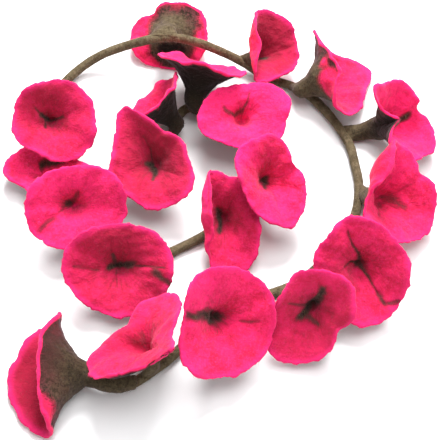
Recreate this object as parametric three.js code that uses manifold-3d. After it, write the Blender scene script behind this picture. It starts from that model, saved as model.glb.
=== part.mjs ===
// Felt flower garland: a felted rope stem laid down in a spiral, with twenty trumpet flowers felted
// onto it. Millimetres, +Z up. It lies on the plane z = 0, and -Y is the side that it is looked at from.
import * as THREE from 'three';
import { mergeVertices } from 'three/addons/utils/BufferGeometryUtils.js';
import Module from 'manifold-3d';

const wasm = await Module();
wasm.setup();

// Driving dimensions
const STEM_DIAMETER = 9.5;
const STEM_SIDES = 10;
const STEM_STEPS = 72;
const FELT_THICKNESS = 2.8;
const THROAT_INSET = 4; // from the outside of a cup's foot in to the felt's middle at its throat
const FOOT_HEIGHT = 4; // from the foot of the cup up to its throat
const PIECE_GAP = 0.33; // at the facets' corners, so that their flats stand 0.3 apart
const LAYOUT_CENTRE = [1.14, 10.87]; // middle of the whole outline in the tables' axes, moved to x = y = 0
const END_ROOM = 1.25; // the hollow round a stem end, as a share of the stem's own clearance
const END_BALL_SEGMENTS = [12, 8];
const FLOOR_SLAB = [900, 900, 60]; // the block that trims what would reach below z = 0
const FLOOR_SOFTNESS = 4; // how gently felt bends where it comes down on z = 0
const STEP = 1e-3; // between two points that a slope is read from

// How a flower is divided into facets
const PETAL_SIDES = 20;
const CUP_STATIONS = [0.13, 0.36, 0.58, 0.79, 1]; // from the throat (0) to the rim (1)
const NECK_STATIONS = [0, 0.5, 1]; // from the stem (0) to the foot of the cup (1)

// How a flower's sheet runs from its throat to its rim, with its rim's waves and its outline's unevenness
const SPREAD_POWER = 1.15;
const DISH_POWER = 2.2;
const RUFFLE_POWER = 3;
const WAVE_COLUMNS = ['count', 'height', 'phase'];
const WAVE_ROWS = [
  [3, 1, 1],
  [5, 0.6, 1.7],
  [8, 0.4, 2.3],
];
const UNEVEN_COLUMNS = ['count', 'share', 'phase'];
const UNEVEN_ROWS = [
  [2, 0.035, 2.1],
  [3, 0.03, 4.3],
];

// The stem's middle line, from its outer end, inside the first flower, to its inner end: [x, y, z]
const STEM_ROUTE = [
  [-110, -176, 17], [-101, -181, 14], [-87, -181, 10], [-48, -152, 4.6], [-9, -111, 5],
  [18, -96, 5], [77, -71, 4.6], [120, -26, 5], [134, 1, 6], [140, 31, 7],
  [138, 63, 6], [131, 93, 7], [97, 146, 7], [74, 162, 7], [49, 173, 7],
  [27, 187, 12], [1, 193, 25], [-26, 194, 40], [-57, 194, 47], [-116, 195, 24],
  [-144, 186, 12], [-166, 166, 6], [-180, 136, 4.6], [-185, 104, 4.6], [-182, 71, 4.6],
  [-168, 39, 4.6], [-148, 10, 5], [-98, -49, 5], [-70, -50, 4.6], [-44, -37, 4.6],
  [-19, -23, 5], [26, 11, 4.6], [43, 34, 5], [49, 65, 4.6], [42, 95, 4.6],
  [5, 129, 5], [-34, 132, 7], [-45, 119, 7], [-50, 98, 6], [-59, 70, 9],
];

// One row for each flower, in order along the stem.
//  at: where its neck leaves the stem, mm from the outer end
//  calyx: the neck's radius there; foot: its radius where the cup begins
//  x, y, z: the middle of its mouth
//  heading, tilt: degrees, the way it faces, round +Z from +X and up from level
//  wide, tall: its mouth, across (level) and up
//  shiftX, shiftY: how far the mouth's outline lies off the throat, across and up
//  depth: of the funnel; flare: how quickly it opens; dish: how far the rim stands ahead of the middle
//  ruffle, phase: height of the rim's waves, and where they start
const COLUMNS = [
  'name', 'at', 'calyx', 'foot', 'x', 'y', 'z', 'heading', 'tilt', 'wide', 'tall', 'shiftX', 'shiftY',
  'depth', 'flare', 'dish', 'ruffle', 'phase',
];
const FLOWER_ROWS = [
  ['flower_01', 13, 8.5, 10.5, -149, -173, 22, 181, 4, 110, 90, 0, -12, 31, 2, 0, 2, 0.4],
  ['flower_02', 52, 7, 8, -75, -151, 53, 147, 58, 110, 84, 0, 12, 28, 2.6, -1, 2, 1.1],
  ['flower_03', 136, 7, 8, 5, -133, 49, -52, 47, 102, 104, 0, 0, 28, 2.8, 8, 3, 2.0],
  ['flower_04', 202, 7, 8, 84, -121, 38.5, -98, 45, 79, 92, -2, 0, 28, 2.6, 6, 3, 0.2],
  ['flower_05', 270, 7, 8, 132, -76, 41, -80, 55, 92, 106, 0, 0, 24, 3, 4, 3, 1.6],
  ['flower_06', 350, 6, 12, 167, 2, 42, -40, 52, 90, 104, 0, 0, 28, 2.2, 8, 3, 2.8],
  ['flower_07', 420, 6, 13, 184, 91, 42, -20, 47, 82, 88, 0, 0, 30, 1.6, 6, 3, 0.9],
  ['flower_08', 494, 7, 10, 114, 152, 35, 12, 26, 96, 76, 0, -8, 30, 2.2, 2, 3, 2.2],
  ['flower_09', 556, 7, 8, 50, 182, 42, -26, 56, 76, 76, 2, 4, 28, 2.6, 6, 2, 1.3],
  ['flower_10', 655, 7, 9, -55, 218, 22, 80, -58, 82, 84, 0, 0, 28, 2.4, 2, 3, 0.7],
  ['flower_11', 806, 7, 8, -168, 87, 50, -71, 57, 88, 80, 3, -4, 28, 2.6, 6, 3, 2.5],
  ['flower_12', 868, 6, 7, -176, 44, 17, -100, 84, 88, 60, 0, 0, 10, 2.4, 3, 2, 1.9],
  ['flower_13', 950, 7, 8, -141, -9, 42, -80, 57, 100, 80, 0, 0, 28, 3, 6, 3, 0.1],
  ['flower_14', 1030, 7, 8, -95, -74, 36, -84, 56, 104, 90, 0, 0, 26, 2.6, 3, 3, 1.4],
  ['flower_15', 1143, 7, 8, 5, -19, 36, -82, 57, 70, 108, 0, -2, 28, 2.6, 2, 2, 2.6],
  ['flower_16', 1200, 7, 8, 52, 15, 56, -42, 54, 78, 100, 0, 0, 28, 2.4, 4, 2, 0.5],
  ['flower_17', 1284, 7, 8, 24, 98, 44, -65, 76, 98, 76, 0, -5, 26, 3, 2, 3, 1.7],
  ['flower_18', 1332, 8, 11, -18, 152, 53, 72, 40, 92, 84, 0, 0, 34, 1.9, 2, 2, 2.9],
  ['flower_19', 1381, 7, 9, -67, 118, 41, 145, 36, 82, 76, 0, 0, 32, 1.8, 2, 3, 1.0],
  ['flower_20', 1405, 8, 9, -67, 42, 46, -108, 68, 92, 104, 0, 0, 28, 2.4, 4, 3, 2.1],
];

// Where a flower's felt curls over: towards an angle in its mouth (0 across, 90 up), by so many degrees
// (positive is forward), starting so far from the throat and done over so many mm
const CURL_COLUMNS = ['name', 'toward', 'degrees', 'start', 'over'];
const CURL_ROWS = [
  ['flower_01', 90, 48, 4, 16],
  ['flower_01', -90, 78, 1, 20],
  ['flower_02', 90, 20, 10, 30],
  ['flower_02', -90, -6, 14, 24],
  ['flower_03', -20, 16, 24, 24],
  ['flower_04', 188, -22, 20, 20],
  ['flower_05', 29, 22, 2, 10],
  ['flower_05', 209, 4, 2, 10],
  ['flower_06', 107, 85, 20, 30],
  ['flower_08', 90, 45, 6, 16],
  ['flower_08', -90, 40, 6, 16],
  ['flower_09', 120, 66, 12, 18],
  ['flower_15', 165, 58, 18, 12],
  ['flower_20', 70, 25, 18, 20],
];

// Where a flower's outline is drawn in: at an angle in its mouth, by a share of the radius (below zero it
// stands out instead), over so many degrees
const NOTCH_COLUMNS = ['name', 'at', 'share', 'spread'];
const NOTCH_ROWS = [
  ['flower_01', 0, 0.06, 20],
  ['flower_01', 180, -0.09, 16],
  ['flower_01', 240, 0.09, 20],
  ['flower_02', -48, -0.28, 24],
  ['flower_02', 28, 0.2, 20],
  ['flower_02', 82, -0.3, 12],
  ['flower_02', 108, 0.18, 18],
  ['flower_02', 150, 0.14, 34],
  ['flower_02', -114, 0.25, 26],
  ['flower_03', 140, 0.12, 20],
  ['flower_03', 195, -0.16, 25],
  ['flower_03', -30, 0.08, 30],
  ['flower_03', -105, 0.07, 30],
  ['flower_04', -28, 0.2, 18],
  ['flower_04', 50, -0.12, 20],
  ['flower_04', 155, 0.22, 34],
  ['flower_04', -122, -0.14, 22],
  ['flower_05', 127, 0.12, 22],
  ['flower_05', 38, 0.07, 18],
  ['flower_06', 0, 0.14, 14],
  ['flower_06', 78, -0.22, 22],
  ['flower_06', 135, 0.2, 24],
  ['flower_06', -115, 0.1, 25],
  ['flower_07', -26, 0.36, 32],
  ['flower_07', 2, 0.2, 20],
  ['flower_07', -98, -0.12, 18],
  ['flower_07', 93, -0.28, 16],
  ['flower_07', 130, 0.62, 24],
  ['flower_08', 8, -0.3, 10],
  ['flower_08', -24, 0.24, 16],
  ['flower_08', -70, -0.48, 22],
  ['flower_09', 127, 0.1, 20],
  ['flower_09', 192, -0.22, 28],
  ['flower_10', 42, 0.26, 20],
  ['flower_10', 84, 0.14, 30],
  ['flower_10', 140, -0.06, 20],
  ['flower_11', -130, 0.14, 24],
  ['flower_11', 125, -0.17, 24],
  ['flower_11', -17, 0.05, 20],
  ['flower_12', -130, 0.24, 26],
  ['flower_12', -45, 0.4, 26],
  ['flower_12', 8, -0.2, 14],
  ['flower_12', 186, -0.06, 16],
  ['flower_13', -24, -0.1, 16],
  ['flower_13', 172, 0.06, 24],
  ['flower_15', 185, 0.28, 26],
  ['flower_15', 152, 0.12, 18],
  ['flower_15', 220, 0.1, 18],
  ['flower_15', 112, -0.1, 14],
  ['flower_15', 78, 0.22, 20],
  ['flower_16', 2, 0.42, 30],
  ['flower_16', -40, 0.17, 28],
  ['flower_16', -75, 0.1, 30],
  ['flower_16', -114, -0.1, 14],
  ['flower_16', 80, 0.12, 22],
  ['flower_17', -130, 0.13, 34],
  ['flower_17', 175, -0.05, 14],
  ['flower_17', -30, 0.08, 18],
  ['flower_19', 162, 0.2, 24],
  ['flower_20', 84, 0.42, 30],
  ['flower_20', 138, -0.28, 16],
  ['flower_20', 196, 0.12, 20],
  ['flower_20', 26, 0.18, 24],
  ['flower_20', 54, 0.1, 14],
  ['flower_20', -102, 0.16, 20],
  ['flower_20', -22, -0.12, 20],
];

function table(columns, rows) {
  return rows.map((row) => Object.fromEntries(columns.map((column, i) => [column, row[i]])));
}

const FLOWERS = table(COLUMNS, FLOWER_ROWS);
const CURLS = table(CURL_COLUMNS, CURL_ROWS);
const NOTCHES = table(NOTCH_COLUMNS, NOTCH_ROWS);
const WAVES = table(WAVE_COLUMNS, WAVE_ROWS);
const UNEVENNESS = table(UNEVEN_COLUMNS, UNEVEN_ROWS);

const radians = THREE.MathUtils.degToRad;

function meshGeometry(coordinates, index) {
  const geometry = new THREE.BufferGeometry();
  geometry.setAttribute('position', new THREE.BufferAttribute(new Float32Array(coordinates), 3));
  geometry.setIndex(new THREE.BufferAttribute(new Uint32Array(index), 1));
  return geometry;
}

// Closed meshes as solids, and back
function solidOf(geometry) {
  const bare = geometry.clone();
  bare.deleteAttribute('normal');
  bare.deleteAttribute('uv');
  const merged = mergeVertices(bare, 1e-4);
  return new wasm.Manifold(new wasm.Mesh({
    numProp: 3,
    vertProperties: new Float32Array(merged.attributes.position.array),
    triVerts: new Uint32Array(merged.index.array),
  }));
}

function geometryOf(solid) {
  const mesh = solid.getMesh();
  return meshGeometry(mesh.vertProperties, mesh.triVerts);
}

const floorBlock = solidOf(new THREE.BoxGeometry(...FLOOR_SLAB).translate(0, 0, -FLOOR_SLAB[2] / 2));

// The stem
const stemPoints = STEM_ROUTE.map((p) => new THREE.Vector3(...p));
const stemLine = new THREE.CatmullRomCurve3(stemPoints, false, 'centripetal');
const stemLength = stemLine.getLength();

function stemSolid(radius) {
  const section = new THREE.Shape();
  for (let i = 0; i < STEM_SIDES; i += 1) {
    const a = (2 * Math.PI * (i + 0.5)) / STEM_SIDES;
    const x = radius * Math.cos(a);
    const y = radius * Math.sin(a);
    if (i === 0) section.moveTo(x, y);
    else section.lineTo(x, y);
  }
  section.closePath();
  const tube = new THREE.ExtrudeGeometry(section, { steps: STEM_STEPS, extrudePath: stemLine });
  return solidOf(tube);
}

// A flower's sheet, in its own axes: across, up, and out of the mouth. q runs from the throat (0) to
// the rim (1).
function rimRadius(flower, angle) {
  const oval = 1 / Math.hypot(Math.cos(angle) / (flower.wide / 2), Math.sin(angle) / (flower.tall / 2));
  let uneven = 1;
  for (const term of UNEVENNESS) {
    uneven += term.share * Math.sin(term.count * angle + term.phase * flower.phase);
  }
  let radius = oval * uneven + flower.shiftX * Math.cos(angle) + flower.shiftY * Math.sin(angle);
  for (const notch of NOTCHES) {
    if (notch.name === flower.name) {
      const away = Math.atan2(Math.sin(angle - radians(notch.at)), Math.cos(angle - radians(notch.at)));
      radius *= 1 - notch.share * Math.exp(-((away / radians(notch.spread)) ** 2));
    }
  }
  return radius;
}

function curled(point, flower) {
  for (const curl of CURLS) {
    if (curl.name === flower.name) {
      const across = Math.cos(radians(curl.toward));
      const up = Math.sin(radians(curl.toward));
      const along = point.x * across + point.y * up;
      if (along > curl.start) {
        const bend = radians(curl.degrees) / curl.over;
        const bent = Math.min(along - curl.start, curl.over);
        const straight = along - curl.start - bent;
        const turn = bend * bent;
        const height = point.z;
        const reach = Math.sin(turn) / bend + straight * Math.cos(turn) - height * Math.sin(turn);
        const moved = curl.start + reach;
        point.x += (moved - along) * across;
        point.y += (moved - along) * up;
        point.z = (1 - Math.cos(turn)) / bend + straight * Math.sin(turn) + height * Math.cos(turn);
      }
    }
  }
  return point;
}

function funnelHeight(flower, q) {
  return -flower.depth * (1 - q) ** flower.flare + flower.dish * q ** DISH_POWER;
}

function sheetPoint(flower, q, angle) {
  const throat = flower.foot - THROAT_INSET;
  const radius = throat + (rimRadius(flower, angle) - throat) * q ** SPREAD_POWER;
  let waves = 0;
  for (const wave of WAVES) {
    waves += wave.height * Math.sin(wave.count * angle + wave.phase * flower.phase);
  }
  const height = funnelHeight(flower, q) + flower.ruffle * waves * q ** RUFFLE_POWER;
  return curled(new THREE.Vector3(radius * Math.cos(angle), radius * Math.sin(angle), height), flower);
}

// Felt that would reach below the floor lies on it instead, with a soft bend where it comes down
function laidDown(point) {
  const above = point.z - FELT_THICKNESS / 2;
  point.z = FELT_THICKNESS / 2 + (above + Math.hypot(above, FLOOR_SOFTNESS)) / 2;
  return point;
}

function flowerAxes(flower) {
  const h = radians(flower.heading);
  const t = radians(flower.tilt);
  const out = new THREE.Vector3(Math.cos(h) * Math.cos(t), Math.sin(h) * Math.cos(t), Math.sin(t));
  const across = new THREE.Vector3(-Math.sin(h), Math.cos(h), 0);
  const up = out.clone().cross(across);
  return { across, up, out, middle: new THREE.Vector3(flower.x, flower.y, flower.z) };
}

function ring(makePoint) {
  return Array.from({ length: PETAL_SIDES }, (_, i) => makePoint((2 * Math.PI * i) / PETAL_SIDES));
}

// Neck, outside of the cup, rim and inside of the cup, as one closed skin of rings between two end points
function flowerGeometry(flower) {
  const axes = flowerAxes(flower);
  const toWorld = (p) => axes.middle.clone()
    .addScaledVector(axes.across, p.x)
    .addScaledVector(axes.up, p.y)
    .addScaledVector(axes.out, p.z);
  const laid = (q, angle) => laidDown(toWorld(sheetPoint(flower, q, angle)));
  const face = (q, angle, side) => {
    const outward = laid(Math.min(1, q + STEP), angle).sub(laid(q - STEP, angle));
    const around = laid(q, angle + STEP).sub(laid(q, angle - STEP));
    const normal = outward.cross(around).normalize();
    return laid(q, angle).addScaledVector(normal, (side * FELT_THICKNESS) / 2);
  };

  const root = stemLine.getPointAt(Math.min(1, flower.at / stemLength));
  const throatHeight = funnelHeight(flower, CUP_STATIONS[0]);
  const foot = toWorld(new THREE.Vector3(0, 0, throatHeight - FOOT_HEIGHT));
  const bendPoint = foot.clone().addScaledVector(axes.out, -0.5 * foot.distanceTo(root));
  const neckLine = new THREE.QuadraticBezierCurve3(root, bendPoint, foot);

  const neckRing = (t) => {
    const centre = neckLine.getPoint(t);
    const along = neckLine.getTangent(t);
    const across = axes.across.clone().addScaledVector(along, -axes.across.dot(along)).normalize();
    const up = along.clone().cross(across);
    const radius = THREE.MathUtils.lerp(flower.calyx, flower.foot, t);
    return ring((a) => centre.clone()
      .addScaledVector(across, radius * Math.cos(a))
      .addScaledVector(up, radius * Math.sin(a)));
  };
  const rings = [
    ...NECK_STATIONS.map(neckRing),
    ...CUP_STATIONS.map((q) => ring((a) => face(q, a, -1))),
    ...[...CUP_STATIONS].reverse().map((q) => ring((a) => face(q, a, 1))),
  ];
  const pit = toWorld(new THREE.Vector3(0, 0, throatHeight - FELT_THICKNESS / 2));

  const points = [root, ...rings.flat(), pit];
  const first = (i) => 1 + i * PETAL_SIDES;
  const index = [];
  for (let k = 0; k < PETAL_SIDES; k += 1) {
    const next = (k + 1) % PETAL_SIDES;
    index.push(0, first(0) + next, first(0) + k);
    for (let i = 0; i + 1 < rings.length; i += 1) {
      const a = first(i) + k;
      const b = first(i) + next;
      const c = first(i + 1) + next;
      const d = first(i + 1) + k;
      index.push(a, b, c, a, c, d);
    }
    index.push(points.length - 1, first(rings.length - 1) + k, first(rings.length - 1) + next);
  }
  return meshGeometry(points.flatMap((p) => p.toArray()), index);
}

const oliveFelt = () => new THREE.MeshStandardMaterial({ color: 0x675a3e, roughness: 0.95, metalness: 0 });
const pinkFelt = () => new THREE.MeshStandardMaterial({ color: 0xf0286e, roughness: 0.95, metalness: 0 });

const garland = new THREE.Group();

function addPiece(name, solid, material) {
  const centred = solid.translate([-LAYOUT_CENTRE[0], -LAYOUT_CENTRE[1], 0]);
  const mesh = new THREE.Mesh(geometryOf(centred), material);
  mesh.name = name;
  garland.add(mesh);
}

addPiece('stem', stemSolid(STEM_DIAMETER / 2).subtract(floorBlock), oliveFelt());

const clearRadius = STEM_DIAMETER / 2 + PIECE_GAP;
let stemClearance = stemSolid(clearRadius);
for (const end of [stemLine.getPoint(0), stemLine.getPoint(1)]) {
  const ball = new THREE.SphereGeometry(END_ROOM * clearRadius, ...END_BALL_SEGMENTS);
  stemClearance = stemClearance.add(solidOf(ball.translate(end.x, end.y, end.z)));
}
for (const flower of FLOWERS) {
  const solid = solidOf(flowerGeometry(flower)).subtract(stemClearance).subtract(floorBlock);
  addPiece(flower.name, solid, pinkFelt());
}

export default garland;
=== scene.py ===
"""A felt flower garland: a felted rope stem laid down in a spiral, with twenty trumpet flowers felted on.

The flowers' tables are in millimetres and degrees, in the layout's own axes, and each is keyed by the
flower's number along the stem. The stem's route and all the meshes are in metres.
"""

import math

import bpy
import numpy as np
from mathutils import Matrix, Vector


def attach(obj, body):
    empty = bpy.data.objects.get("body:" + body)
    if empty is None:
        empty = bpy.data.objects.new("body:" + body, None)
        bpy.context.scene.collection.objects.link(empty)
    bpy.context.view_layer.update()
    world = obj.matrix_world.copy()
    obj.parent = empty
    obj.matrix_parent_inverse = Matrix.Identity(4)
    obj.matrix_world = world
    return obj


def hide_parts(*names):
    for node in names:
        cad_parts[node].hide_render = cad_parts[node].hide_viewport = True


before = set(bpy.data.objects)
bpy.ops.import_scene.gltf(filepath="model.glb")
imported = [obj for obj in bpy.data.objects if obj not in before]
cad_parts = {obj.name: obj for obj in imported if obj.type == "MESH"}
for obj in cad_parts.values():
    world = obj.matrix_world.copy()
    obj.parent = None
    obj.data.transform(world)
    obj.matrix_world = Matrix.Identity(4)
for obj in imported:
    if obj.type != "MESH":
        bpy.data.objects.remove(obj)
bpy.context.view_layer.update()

MM = 0.001
LAYOUT_CENTRE = Vector((1.14, 10.87, 0.0)) * MM
LOWEST_POINT = 0.0001  # how low the rope and the loose fibres may lie, in metres
LEAST_LENGTH = 1e-6  # the least that is divided by, so that nothing is divided by zero
LEAST_CROSSING = 1e-9
LEAST_NORMAL = 1e-12

# The camera: its picture is PHOTO_SIZE pixels square, and the middle looks at the layout's own zero
PHOTO_SIZE = 440
FOCAL_PIXELS = 1125
CAMERA_ELEVATION = math.radians(60)
CAMERA_DISTANCE = 1.125
CLIP_NEAR = 0.05
CLIP_FAR = 20
SENSOR_MM = 36.0

# The stem, in mm
STEM_DIAMETER = 9.5
SWELL = 0.16  # how much thicker it is at a neck, as a share, and how far that reaches along it
SWELL_REACH = 11

# A neck, in mm
NECK_START = 4.3  # its radius in the middle of the stem, and how far it takes to reach its own
NECK_RISE = 15
NECK_WEB = 1.6  # how much wider it is along the stem there, as a share, and how soon that fades
NECK_WEB_HEIGHT = 8
NECK_SINK = 1.5  # how far below the stem's middle it starts, and how far from the stem's end it stays
END_ROOM = 0.5
BEND_SHARE = 0.5  # how far below the foot of the cup it bends, as a share of its length

# A cup and its felt, in mm
FELT_THICKNESS = 2.8
FELT_LOWEST = 0.12
FOOT_HEIGHT = 4  # how far the foot of the cup lies below its first ring, and how much narrower the throat is
THROAT_INSET = 4
THROAT_STATION = 0.13  # where the outside starts and the inside ends, from the throat (0) to the rim (1)
CUP_BOTTOM = 0.02
PIT_DEPTH = 1.5
SHEET_REACH = 0.55  # about how long the felt is from throat to rim, as a share of the mouth's mean width
SPREAD_POWER = 1.15  # how the radius, the dish, the waves, the lumps and the ragged edge grow towards the rim
DISH_POWER = 2.2
RUFFLE_POWER = 3
RIM_LUMP_POWER = 4
RAG_START = 0.72
RAG_REACH = 0.28
FLOOR_SOFTNESS = 4  # how softly the felt gives way where it would go through the surface
STAIN_WANDER = 0.32  # how far a stain strays from its line, and how wide it is, as shares of its width
STAIN_SHARE = 0.85

# Waves round a mouth: how many, how high (or what share of the radius), and what share of the flower's phase
RIM_WAVES = [(3, 1, 1), (5, 0.6, 1.7), (8, 0.4, 2.3)]
UNEVENNESS = [(2, 0.035, 2.1), (3, 0.03, 4.3)]
# Chance waves round a mouth: how many, how high (or what share of the radius), and the seed
RAG_WAVES = [((13, 19, 24, 31), 0.013, 1), ((43, 52, 61), 0.008, 2)]
RIM_LUMPS = ((11, 14, 17), 0.8, 3)
# Chance waves along the felt: how long and how high, and the most that they thicken or thin it on a side
FELT_LUMPS = ((23, 0.3), (15, 0.22), (9, 0.16), (6, 0.1))
LUMP_DIRECTIONS = 3
LUMP_LIMIT = 0.8
# Chance waves by which a stain strays: how long, and what share
STRAY_WAVES = ((24, 0.6), (14, 0.4), (8, 0.25))
CHANCE_TURN = 6.28  # a wave starts anywhere in about one turn

# Seeds: a flower's lumps take the first plus its number, and other waves' seeds are SEED_STEP apart
FLOWER_SEED = 40
SEED_STEP = 100
STEM_SEED = 7

# How fine the meshes are
PETAL_SIDES = 120
CUP_RINGS = 26
EXTRA_RINGS = 4  # that the inside of a cup has more than its outside
EDGE_RINGS = 5
NECK_RINGS = 12
SADDLE_RINGS = 3
SLOPE_STEP = 1e-3
ROUTE_STEPS = 24
STEM_STATIONS = 560
ROPE_SIDES = 20

# The stem's route, in metres
STEM_ROUTE = [
    (-0.110, -0.176, 0.017), (-0.101, -0.181, 0.014), (-0.087, -0.181, 0.010), (-0.048, -0.152, 0.0046),
    (-0.009, -0.111, 0.005), (0.018, -0.096, 0.005), (0.077, -0.071, 0.0046), (0.120, -0.026, 0.005),
    (0.134, 0.001, 0.006), (0.140, 0.031, 0.007), (0.138, 0.063, 0.006), (0.131, 0.093, 0.007),
    (0.097, 0.146, 0.007), (0.074, 0.162, 0.007), (0.049, 0.173, 0.007), (0.027, 0.187, 0.012),
    (0.001, 0.193, 0.025), (-0.026, 0.194, 0.040), (-0.057, 0.194, 0.047), (-0.116, 0.195, 0.024),
    (-0.144, 0.186, 0.012), (-0.166, 0.166, 0.006), (-0.180, 0.136, 0.0046), (-0.185, 0.104, 0.0046),
    (-0.182, 0.071, 0.0046), (-0.168, 0.039, 0.0046), (-0.148, 0.010, 0.005), (-0.098, -0.049, 0.005),
    (-0.070, -0.050, 0.0046), (-0.044, -0.037, 0.0046), (-0.019, -0.023, 0.005), (0.026, 0.011, 0.0046),
    (0.043, 0.034, 0.005), (0.049, 0.065, 0.0046), (0.042, 0.095, 0.0046), (0.005, 0.129, 0.005),
    (-0.034, 0.132, 0.007), (-0.045, 0.119, 0.007), (-0.050, 0.098, 0.006), (-0.059, 0.070, 0.009),
]

# One row for each flower: where its neck leaves the stem, the neck's radius there and at the foot of the cup,
# the middle of its mouth, the way it faces, its mouth across and up, how far the mouth's outline lies off the
# throat, the funnel's depth, flare and dish, and the height and start of the rim's waves
FLOWER_COLUMNS = (
    "at calyx foot x y z heading tilt wide tall shift_x shift_y depth flare dish ruffle phase".split()
)
FLOWER_ROWS = {
    1: (13, 8.5, 10.5, -149, -173, 22, 181, 4, 110, 90, 0, -12, 31, 2, 0, 2, 0.4),
    2: (52, 7, 8, -75, -151, 53, 147, 58, 110, 84, 0, 12, 28, 3.2, -1, 2, 1.1),
    3: (136, 7, 8, 5, -133, 49, -52, 47, 102, 104, 0, 0, 28, 2.8, 8, 3, 2.0),
    4: (202, 7, 8, 84, -121, 38.5, -98, 45, 79, 92, -2, 0, 28, 2.6, 6, 3, 0.2),
    5: (270, 7, 8, 132, -76, 41, -80, 55, 92, 106, 0, 0, 24, 3, 4, 3, 1.6),
    6: (350, 6, 12, 167, 2, 42, -40, 52, 90, 104, 0, 0, 28, 2.2, 8, 3, 2.8),
    7: (420, 6, 13, 184, 91, 42, -20, 47, 82, 88, 0, 0, 30, 1.6, 6, 3, 0.9),
    8: (494, 7, 10, 114, 152, 35, 12, 26, 96, 76, 0, -8, 30, 2.2, 2, 3, 2.2),
    9: (556, 7, 8, 50, 182, 42, -26, 56, 76, 76, 2, 4, 28, 2.6, 6, 2, 1.3),
    10: (655, 7, 9, -55, 218, 22, 80, -58, 82, 84, 0, 0, 28, 2.4, 2, 3, 0.7),
    11: (806, 7, 8, -168, 87, 50, -71, 57, 88, 80, 3, -4, 28, 2.6, 6, 3, 2.5),
    12: (868, 6, 7, -176, 44, 17, -100, 84, 88, 60, 0, 0, 10, 2.4, 3, 2, 1.9),
    13: (950, 7, 8, -141, -9, 42, -80, 57, 100, 80, 0, 0, 28, 3, 6, 3, 0.1),
    14: (1030, 7, 8, -95, -74, 36, -84, 56, 104, 90, 0, 0, 26, 2.6, 3, 3, 1.4),
    15: (1143, 7, 8, 5, -19, 36, -82, 57, 70, 108, 0, -2, 28, 2.6, 2, 2, 2.6),
    16: (1200, 7, 8, 52, 15, 56, -42, 54, 78, 100, 0, 0, 28, 2.4, 4, 2, 0.5),
    17: (1284, 7, 8, 24, 98, 44, -65, 76, 98, 76, 0, -5, 26, 3, 2, 3, 1.7),
    18: (1332, 8, 11, -18, 152, 53, 72, 40, 92, 84, 0, 0, 34, 1.9, 2, 2, 2.9),
    19: (1381, 7, 9, -67, 118, 41, 145, 36, 82, 76, 0, 0, 32, 1.8, 2, 3, 1.0),
    20: (1405, 8, 9, -67, 42, 46, -108, 68, 92, 104, 0, 0, 28, 2.4, 4, 3, 2.1),
}
FLOWERS = [
    dict(zip(FLOWER_COLUMNS, row), number=number, name=f"flower_{number:02d}")
    for number, row in FLOWER_ROWS.items()
]

# Where a flower's felt curls over: towards an angle in its mouth (0 across, 90 up), by so many degrees,
# starting so far from the throat, and done over so many mm
CURLS = {
    1: [(90, 48, 4, 16), (-90, 78, 1, 20)],
    2: [(90, 20, 10, 30), (-90, -6, 14, 24), (30, 130, 40, 9)],
    3: [(-20, 16, 24, 24)],
    4: [(188, -22, 20, 20)],
    5: [(29, 22, 2, 10), (209, 4, 2, 10)],
    6: [(107, 85, 20, 30)],
    8: [(90, 45, 6, 16), (-90, 40, 6, 16)],
    9: [(120, 66, 12, 18)],
    15: [(174, 122, 13.5, 14)],
    20: [(70, 25, 18, 20)],
}

# Where a flower's outline is drawn in: at an angle in its mouth, by a share of the radius (below zero it
# stands out instead), and over so many degrees to each side
NOTCHES = {
    1: [(0, 0.06, 20), (180, -0.09, 16), (240, 0.09, 20)],
    2: [
        (-48, -0.28, 24), (28, 0.15, 22), (82, -0.3, 12), (108, 0.18, 18), (150, 0.14, 34),
        (-114, 0.25, 26),
    ],
    3: [(140, 0.12, 20), (195, -0.16, 25), (-30, 0.08, 30), (-105, 0.07, 30)],
    4: [(-28, 0.2, 18), (50, -0.12, 20), (155, 0.22, 34), (-122, -0.14, 22)],
    5: [(127, 0.12, 22), (38, 0.07, 18)],
    6: [(0, 0.14, 14), (78, -0.22, 22), (135, 0.2, 24), (-115, 0.1, 25)],
    7: [(-26, 0.36, 32), (2, 0.2, 20), (-98, -0.12, 18), (93, -0.28, 16), (130, 0.62, 24)],
    8: [(8, -0.3, 10), (-24, 0.24, 16), (-70, -0.48, 22)],
    9: [(127, 0.1, 20), (192, -0.22, 28)],
    10: [(42, 0.26, 20), (84, 0.14, 30), (140, -0.06, 20)],
    11: [(-130, 0.14, 24), (125, -0.17, 24), (-17, 0.05, 20)],
    12: [(-130, 0.24, 26), (-45, 0.4, 26), (8, -0.2, 14), (186, -0.06, 16)],
    13: [(-24, -0.1, 16), (172, 0.06, 24)],
    15: [(190, -0.03, 26), (150, -0.1, 20), (220, 0.1, 18), (122, -0.2, 16), (78, 0.22, 20)],
    16: [(2, 0.42, 30), (-40, 0.17, 28), (-75, 0.1, 30), (-114, -0.1, 14), (80, 0.12, 22)],
    17: [(-130, 0.13, 34), (175, -0.05, 14), (-30, 0.08, 18)],
    19: [(162, 0.2, 24)],
    20: [
        (84, 0.42, 30), (138, -0.28, 16), (196, 0.12, 20), (26, 0.18, 24), (54, 0.1, 14), (-102, 0.16, 20),
        (-22, -0.12, 20),
    ],
}

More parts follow.
